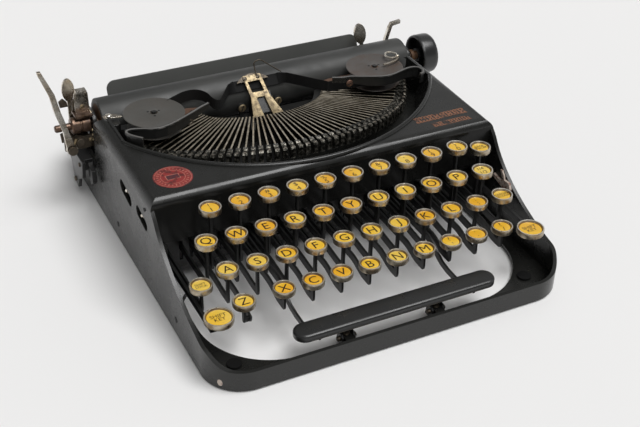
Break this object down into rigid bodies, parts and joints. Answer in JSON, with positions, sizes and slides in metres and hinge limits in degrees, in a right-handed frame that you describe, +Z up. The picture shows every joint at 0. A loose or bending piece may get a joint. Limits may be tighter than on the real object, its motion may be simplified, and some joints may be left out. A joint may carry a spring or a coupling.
{
  "type": "manual typewriter",
  "caption": "Portable manual typewriter with a pressed-steel body, round typebar bowl, open keyboard, twin ribbon spools and a sliding platen carriage.",
  "frame": {"origin": "bottom centre of the whole object's bounding box, on the surface that the feet stand on", "axes": "+X to the typist's right along the carriage, +Y from the space bar to the rear, +Z up"},
  "size_m": [0.302, 0.285, 0.1064],
  "materials": {
    "black_enamel": "satin-gloss enamel, chipped along the edges",
    "frame_enamel": "satin",
    "foot_rubber": "matte",
    "typebar_steel": "tarnished",
    "spool_enamel": "worn matte",
    "ribbon_cloth": "matte",
    "aged_brass": "tarnished",
    "platen_rubber": "matte, worn smooth",
    "paper_table_enamel": "satin",
    "aged_nickel": "dull, spotted with rust",
    "space_bar_black": "satin",
    "key_metal": "dull nickel, spotted with rust",
    "key_yellow": "gloss",
    "legend_brown": "gloss",
    "decal_red": "satin",
    "decal_gold": "worn satin",
    "worn_cream": "worn"
  },
  "bodies": {
    "base": {"body_shell": "black_enamel", "rubber_feet": "foot_rubber", "main_frame": "frame_enamel", "typebars": "typebar_steel", "ribbon": "ribbon_cloth"},
    "spool_left": {"ribbon_spool_left": "spool_enamel"},
    "spool_right": {"ribbon_spool_right": "spool_enamel"},
    "guide": {"type_guide": "aged_brass"},
    "carriage": {"carriage_frame": "frame_enamel", "paper_table": "paper_table_enamel"},
    "platen_roll": {"platen": "platen_rubber"},
    "return_arm": {"return_lever": "aged_nickel"},
    "release_shaft": {"carriage_release": "aged_nickel"},
    "paper_lever": {"paper_release": "aged_nickel"},
    "space": {"space_bar": "space_bar_black"},
    "shift": {"shift_bail": "key_metal"},
    "shift_lock": {"shift_lock_key": "key_metal"},
    "back_spacer": {"back_spacer_key": "key_metal"},
    "margin_release": {"margin_release_key": "key_metal"},
    "key_1_lever": {"key_1": "key_metal"},
    "key_2_lever": {"key_2": "key_metal"},
    "key_3_lever": {"key_3": "key_metal"},
    "key_4_lever": {"key_4": "key_metal"},
    "key_5_lever": {"key_5": "key_metal"},
    "key_6_lever": {"key_6": "key_metal"},
    "key_7_lever": {"key_7": "key_metal"},
    "key_8_lever": {"key_8": "key_metal"},
    "key_9_lever": {"key_9": "key_metal"},
    "key_0_lever": {"key_0": "key_metal"},
    "key_q_lever": {"key_q": "key_metal"},
    "key_w_lever": {"key_w": "key_metal"},
    "key_e_lever": {"key_e": "key_metal"},
    "key_r_lever": {"key_r": "key_metal"},
    "key_t_lever": {"key_t": "key_metal"},
    "key_y_lever": {"key_y": "key_metal"},
    "key_u_lever": {"key_u": "key_metal"},
    "key_i_lever": {"key_i": "key_metal"},
    "key_o_lever": {"key_o": "key_metal"},
    "key_p_lever": {"key_p": "key_metal"},
    "key_fraction_lever": {"key_fraction": "key_metal"},
    "key_a_lever": {"key_a": "key_metal"},
    "key_s_lever": {"key_s": "key_metal"},
    "key_d_lever": {"key_d": "key_metal"},
    "key_f_lever": {"key_f": "key_metal"},
    "key_g_lever": {"key_g": "key_metal"},
    "key_h_lever": {"key_h": "key_metal"},
    "key_j_lever": {"key_j": "key_metal"},
    "key_k_lever": {"key_k": "key_metal"},
    "key_l_lever": {"key_l": "key_metal"},
    "key_semicolon_lever": {"key_semicolon": "key_metal"},
    "key_x_lever": {"key_x": "key_metal"},
    "key_c_lever": {"key_c": "key_metal"},
    "key_v_lever": {"key_v": "key_metal"},
    "key_b_lever": {"key_b": "key_metal"},
    "key_n_lever": {"key_n": "key_metal"},
    "key_m_lever": {"key_m": "key_metal"},
    "key_comma_lever": {"key_comma": "key_metal"},
    "key_period_lever": {"key_period": "key_metal"},
    "key_slash_lever": {"key_slash": "key_metal"},
    "key_z_lever": {"key_z": "key_metal"}
  },
  "joints": [
    {"name": "carriage_slide", "type": "slide", "parent": "base", "child": "carriage", "axis": [1, 0, 0], "range_m": [-0.111, 0.099]},
    {"name": "platen_turn", "type": "hinge", "parent": "carriage", "child": "platen_roll", "pos_m": [0, 0.0895, 0.058], "axis": [1, 0, 0], "continuous": true},
    {"name": "return_lever_swing", "type": "hinge", "parent": "carriage", "child": "return_arm", "pos_m": [-0.1335, 0.0815, 0.045], "axis": [0, 1, 0], "range_deg": [0, 15], "stiffness_Nm_per_rad": 0.5, "springref_deg": -5.73},
    {"name": "carriage_release_tilt", "type": "hinge", "parent": "carriage", "child": "release_shaft", "pos_m": [0, 0.107, 0.05], "axis": [1, 0, 0], "range_deg": [0, 7], "stiffness_Nm_per_rad": 0.8, "springref_deg": -3.44},
    {"name": "paper_release_tilt", "type": "hinge", "parent": "carriage", "child": "paper_lever", "pos_m": [0.125, 0.107, 0.05], "axis": [1, 0, 0], "range_deg": [-20, 0]},
    {"name": "guide_lift", "type": "slide", "parent": "base", "child": "guide", "axis": [0, 0.7071, 0.7071], "range_m": [0, 0.007], "stiffness_N_per_m": 40, "springref_m": -0.003},
    {"name": "spool_left_turn", "type": "hinge", "parent": "base", "child": "spool_left", "pos_m": [-0.083, 0.0555, 0.069], "axis": [0, 0, 1], "continuous": true},
    {"name": "spool_right_turn", "type": "hinge", "parent": "base", "child": "spool_right", "pos_m": [0.083, 0.0555, 0.069], "axis": [0, 0, 1], "continuous": true},
    {"name": "space_bar_press", "type": "hinge", "parent": "base", "child": "space", "pos_m": [0, 0.0575, 0.0278], "axis": [1, 0, 0], "range_deg": [0, 1.8], "stiffness_Nm_per_rad": 3, "springref_deg": -3.44},
    {"name": "shift_press", "type": "hinge", "parent": "base", "child": "shift", "pos_m": [0, 0.0575, 0.0278], "axis": [1, 0, 0], "range_deg": [0, 2.7], "stiffness_Nm_per_rad": 3, "springref_deg": -3.44},
    {"name": "shift_lock_press", "type": "hinge", "parent": "base", "child": "shift_lock", "pos_m": [0, 0.0575, 0.0278], "axis": [1, 0, 0], "range_deg": [0, 3], "stiffness_Nm_per_rad": 0.6, "springref_deg": -2.86},
    {"name": "back_spacer_press", "type": "hinge", "parent": "base", "child": "back_spacer", "pos_m": [0, 0.0575, 0.0278], "axis": [1, 0, 0], "range_deg": [0, 4], "stiffness_Nm_per_rad": 0.6, "springref_deg": -2.86},
    {"name": "margin_release_press", "type": "hinge", "parent": "base", "child": "margin_release", "pos_m": [0, 0.0575, 0.0278], "axis": [1, 0, 0], "range_deg": [0, 3.1], "stiffness_Nm_per_rad": 0.6, "springref_deg": -2.86},
    {"name": "key_1_press", "type": "hinge", "parent": "base", "child": "key_1_lever", "pos_m": [0, 0.0575, 0.0278], "axis": [1, 0, 0], "range_deg": [0, 4], "stiffness_Nm_per_rad": 0.6, "springref_deg": -2.86},
    {"name": "key_2_press", "type": "hinge", "parent": "base", "child": "key_2_lever", "pos_m": [0, 0.0575, 0.0278], "axis": [1, 0, 0], "range_deg": [0, 4], "stiffness_Nm_per_rad": 0.6, "springref_deg": -2.86},
    {"name": "key_3_press", "type": "hinge", "parent": "base", "child": "key_3_lever", "pos_m": [0, 0.0575, 0.0278], "axis": [1, 0, 0], "range_deg": [0, 4], "stiffness_Nm_per_rad": 0.6, "springref_deg": -2.86},
    {"name": "key_4_press", "type": "hinge", "parent": "base", "child": "key_4_lever", "pos_m": [0, 0.0575, 0.0278], "axis": [1, 0, 0], "range_deg": [0, 4], "stiffness_Nm_per_rad": 0.6, "springref_deg": -2.86},
    {"name": "key_5_press", "type": "hinge", "parent": "base", "child": "key_5_lever", "pos_m": [0, 0.0575, 0.0278], "axis": [1, 0, 0], "range_deg": [0, 4], "stiffness_Nm_per_rad": 0.6, "springref_deg": -2.86},
    {"name": "key_6_press", "type": "hinge", "parent": "base", "child": "key_6_lever", "pos_m": [0, 0.0575, 0.0278], "axis": [1, 0, 0], "range_deg": [0, 4], "stiffness_Nm_per_rad": 0.6, "springref_deg": -2.86},
    {"name": "key_7_press", "type": "hinge", "parent": "base", "child": "key_7_lever", "pos_m": [0, 0.0575, 0.0278], "axis": [1, 0, 0], "range_deg": [0, 4], "stiffness_Nm_per_rad": 0.6, "springref_deg": -2.86},
    {"name": "key_8_press", "type": "hinge", "parent": "base", "child": "key_8_lever", "pos_m": [0, 0.0575, 0.0278], "axis": [1, 0, 0], "range_deg": [0, 4], "stiffness_Nm_per_rad": 0.6, "springref_deg": -2.86},
    {"name": "key_9_press", "type": "hinge", "parent": "base", "child": "key_9_lever", "pos_m": [0, 0.0575, 0.0278], "axis": [1, 0, 0], "range_deg": [0, 4], "stiffness_Nm_per_rad": 0.6, "springref_deg": -2.86},
    {"name": "key_0_press", "type": "hinge", "parent": "base", "child": "key_0_lever", "pos_m": [0, 0.0575, 0.0278], "axis": [1, 0, 0], "range_deg": [0, 4], "stiffness_Nm_per_rad": 0.6, "springref_deg": -2.86},
    {"name": "key_q_press", "type": "hinge", "parent": "base", "child": "key_q_lever", "pos_m": [0, 0.0575, 0.0278], "axis": [1, 0, 0], "range_deg": [0, 3.45], "stiffness_Nm_per_rad": 0.6, "springref_deg": -2.86},
    {"name": "key_w_press", "type": "hinge", "parent": "base", "child": "key_w_lever", "pos_m": [0, 0.0575, 0.0278], "axis": [1, 0, 0], "range_deg": [0, 3.45], "stiffness_Nm_per_rad": 0.6, "springref_deg": -2.86},
    {"name": "key_e_press", "type": "hinge", "parent": "base", "child": "key_e_lever", "pos_m": [0, 0.0575, 0.0278], "axis": [1, 0, 0], "range_deg": [0, 3.45], "stiffness_Nm_per_rad": 0.6, "springref_deg": -2.86},
    {"name": "key_r_press", "type": "hinge", "parent": "base", "child": "key_r_lever", "pos_m": [0, 0.0575, 0.0278], "axis": [1, 0, 0], "range_deg": [0, 3.45], "stiffness_Nm_per_rad": 0.6, "springref_deg": -2.86},
    {"name": "key_t_press", "type": "hinge", "parent": "base", "child": "key_t_lever", "pos_m": [0, 0.0575, 0.0278], "axis": [1, 0, 0], "range_deg": [0, 3.45], "stiffness_Nm_per_rad": 0.6, "springref_deg": -2.86},
    {"name": "key_y_press", "type": "hinge", "parent": "base", "child": "key_y_lever", "pos_m": [0, 0.0575, 0.0278], "axis": [1, 0, 0], "range_deg": [0, 3.45], "stiffness_Nm_per_rad": 0.6, "springref_deg": -2.86},
    {"name": "key_u_press", "type": "hinge", "parent": "base", "child": "key_u_lever", "pos_m": [0, 0.0575, 0.0278], "axis": [1, 0, 0], "range_deg": [0, 3.45], "stiffness_Nm_per_rad": 0.6, "springref_deg": -2.86},
    {"name": "key_i_press", "type": "hinge", "parent": "base", "child": "key_i_lever", "pos_m": [0, 0.0575, 0.0278], "axis": [1, 0, 0], "range_deg": [0, 3.45], "stiffness_Nm_per_rad": 0.6, "springref_deg": -2.86},
    {"name": "key_o_press", "type": "hinge", "parent": "base", "child": "key_o_lever", "pos_m": [0, 0.0575, 0.0278], "axis": [1, 0, 0], "range_deg": [0, 3.45], "stiffness_Nm_per_rad": 0.6, "springref_deg": -2.86},
    {"name": "key_p_press", "type": "hinge", "parent": "base", "child": "key_p_lever", "pos_m": [0, 0.0575, 0.0278], "axis": [1, 0, 0], "range_deg": [0, 3.45], "stiffness_Nm_per_rad": 0.6, "springref_deg": -2.86},
    {"name": "key_fraction_press", "type": "hinge", "parent": "base", "child": "key_fraction_lever", "pos_m": [0, 0.0575, 0.0278], "axis": [1, 0, 0], "range_deg": [0, 3.45], "stiffness_Nm_per_rad": 0.6, "springref_deg": -2.86},
    {"name": "key_a_press", "type": "hinge", "parent": "base", "child": "key_a_lever", "pos_m": [0, 0.0575, 0.0278], "axis": [1, 0, 0], "range_deg": [0, 3.1], "stiffness_Nm_per_rad": 0.6, "springref_deg": -2.86},
    {"name": "key_s_press", "type": "hinge", "parent": "base", "child": "key_s_lever", "pos_m": [0, 0.0575, 0.0278], "axis": [1, 0, 0], "range_deg": [0, 3.1], "stiffness_Nm_per_rad": 0.6, "springref_deg": -2.86},
    {"name": "key_d_press", "type": "hinge", "parent": "base", "child": "key_d_lever", "pos_m": [0, 0.0575, 0.0278], "axis": [1, 0, 0], "range_deg": [0, 3.1], "stiffness_Nm_per_rad": 0.6, "springref_deg": -2.86},
    {"name": "key_f_press", "type": "hinge", "parent": "base", "child": "key_f_lever", "pos_m": [0, 0.0575, 0.0278], "axis": [1, 0, 0], "range_deg": [0, 3.1], "stiffness_Nm_per_rad": 0.6, "springref_deg": -2.86},
    {"name": "key_g_press", "type": "hinge", "parent": "base", "child": "key_g_lever", "pos_m": [0, 0.0575, 0.0278], "axis": [1, 0, 0], "range_deg": [0, 3.1], "stiffness_Nm_per_rad": 0.6, "springref_deg": -2.86},
    {"name": "key_h_press", "type": "hinge", "parent": "base", "child": "key_h_lever", "pos_m": [0, 0.0575, 0.0278], "axis": [1, 0, 0], "range_deg": [0, 3.1], "stiffness_Nm_per_rad": 0.6, "springref_deg": -2.86},
    {"name": "key_j_press", "type": "hinge", "parent": "base", "child": "key_j_lever", "pos_m": [0, 0.0575, 0.0278], "axis": [1, 0, 0], "range_deg": [0, 3.1], "stiffness_Nm_per_rad": 0.6, "springref_deg": -2.86},
    {"name": "key_k_press", "type": "hinge", "parent": "base", "child": "key_k_lever", "pos_m": [0, 0.0575, 0.0278], "axis": [1, 0, 0], "range_deg": [0, 3.1], "stiffness_Nm_per_rad": 0.6, "springref_deg": -2.86},
    {"name": "key_l_press", "type": "hinge", "parent": "base", "child": "key_l_lever", "pos_m": [0, 0.0575, 0.0278], "axis": [1, 0, 0], "range_deg": [0, 3.1], "stiffness_Nm_per_rad": 0.6, "springref_deg": -2.86},
    {"name": "key_semicolon_press", "type": "hinge", "parent": "base", "child": "key_semicolon_lever", "pos_m": [0, 0.0575, 0.0278], "axis": [1, 0, 0], "range_deg": [0, 3.1], "stiffness_Nm_per_rad": 0.6, "springref_deg": -2.86},
    {"name": "key_x_press", "type": "hinge", "parent": "base", "child": "key_x_lever", "pos_m": [0, 0.0575, 0.0278], "axis": [1, 0, 0], "range_deg": [0, 2.8], "stiffness_Nm_per_rad": 0.6, "springref_deg": -2.86},
    {"name": "key_c_press", "type": "hinge", "parent": "base", "child": "key_c_lever", "pos_m": [0, 0.0575, 0.0278], "axis": [1, 0, 0], "range_deg": [0, 2.8], "stiffness_Nm_per_rad": 0.6, "springref_deg": -2.86},
    {"name": "key_v_press", "type": "hinge", "parent": "base", "child": "key_v_lever", "pos_m": [0, 0.0575, 0.0278], "axis": [1, 0, 0], "range_deg": [0, 2.8], "stiffness_Nm_per_rad": 0.6, "springref_deg": -2.86},
    {"name": "key_b_press", "type": "hinge", "parent": "base", "child": "key_b_lever", "pos_m": [0, 0.0575, 0.0278], "axis": [1, 0, 0], "range_deg": [0, 2.8], "stiffness_Nm_per_rad": 0.6, "springref_deg": -2.86},
    {"name": "key_n_press", "type": "hinge", "parent": "base", "child": "key_n_lever", "pos_m": [0, 0.0575, 0.0278], "axis": [1, 0, 0], "range_deg": [0, 2.8], "stiffness_Nm_per_rad": 0.6, "springref_deg": -2.86},
    {"name": "key_m_press", "type": "hinge", "parent": "base", "child": "key_m_lever", "pos_m": [0, 0.0575, 0.0278], "axis": [1, 0, 0], "range_deg": [0, 2.8], "stiffness_Nm_per_rad": 0.6, "springref_deg": -2.86},
    {"name": "key_comma_press", "type": "hinge", "parent": "base", "child": "key_comma_lever", "pos_m": [0, 0.0575, 0.0278], "axis": [1, 0, 0], "range_deg": [0, 2.8], "stiffness_Nm_per_rad": 0.6, "springref_deg": -2.86},
    {"name": "key_period_press", "type": "hinge", "parent": "base", "child": "key_period_lever", "pos_m": [0, 0.0575, 0.0278], "axis": [1, 0, 0], "range_deg": [0, 2.8], "stiffness_Nm_per_rad": 0.6, "springref_deg": -2.86},
    {"name": "key_slash_press", "type": "hinge", "parent": "base", "child": "key_slash_lever", "pos_m": [0, 0.0575, 0.0278], "axis": [1, 0, 0], "range_deg": [0, 2.8], "stiffness_Nm_per_rad": 0.6, "springref_deg": -2.86},
    {"name": "key_z_press", "type": "hinge", "parent": "base", "child": "key_z_lever", "pos_m": [0, 0.0575, 0.0278], "axis": [1, 0, 0], "range_deg": [0, 2.75], "stiffness_Nm_per_rad": 0.6, "springref_deg": -2.86}
  ],
  "couplings": [
    {"joint": "spool_right_turn", "follows": "spool_left_turn", "ratio": 1}
  ]
}
